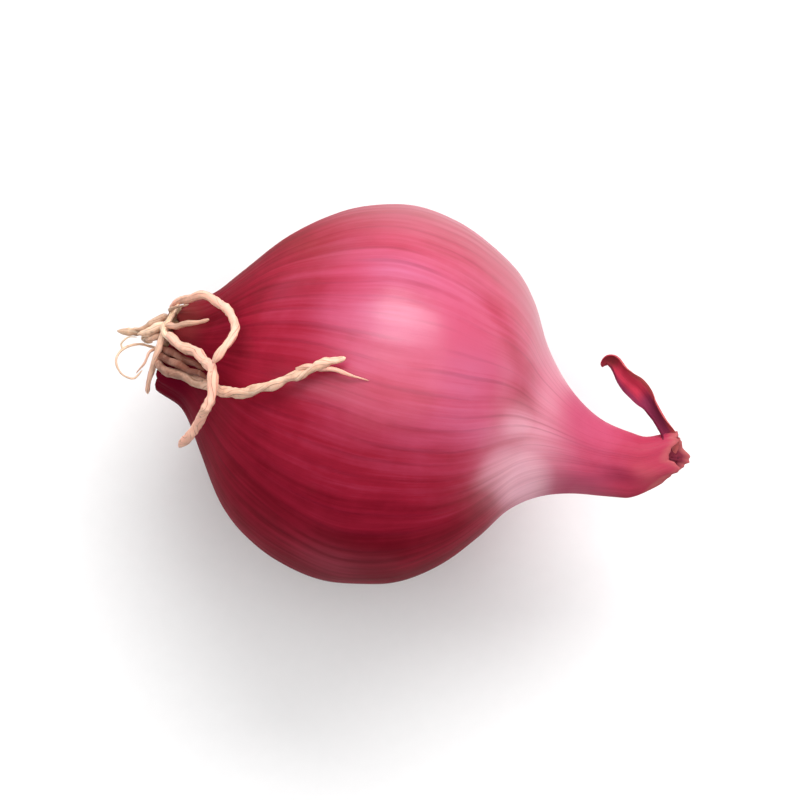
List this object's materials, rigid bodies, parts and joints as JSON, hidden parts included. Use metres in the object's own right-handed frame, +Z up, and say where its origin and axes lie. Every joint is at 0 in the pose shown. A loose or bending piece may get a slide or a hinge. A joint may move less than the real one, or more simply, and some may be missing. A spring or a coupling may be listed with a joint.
{
  "type": "red onion",
  "caption": "Small unpeeled red onion lying on its side, with its dry neck, a hooked dead leaf tip and dry curling roots.",
  "frame": {"origin": "centre of the small flat spot on the underside of the bulb", "axes": "+Z up, +X along the core from the roots toward the neck, +Y to the side that the hooked leaf tip bends to"},
  "size_m": [0.0442, 0.0286, 0.0288],
  "materials": {
    "skin": "satin dry onion skin, crimson with fine lengthwise veins",
    "cork": "matt corky tan",
    "root": "matt dry straw-coloured root",
    "dry_leaf": "satin dark crimson dry leaf"
  },
  "bodies": {
    "root": {"bulb": "skin", "root_plate": "cork", "root_01": "root", "root_02": "root", "root_03": "root", "root_04": "root", "root_05": "root", "root_06": "root", "root_07": "root", "root_08": "root", "root_09": "root", "root_10": "root", "root_11": "root", "root_12": "root", "leaf_curl": "dry_leaf"}
  },
  "joints": []
}
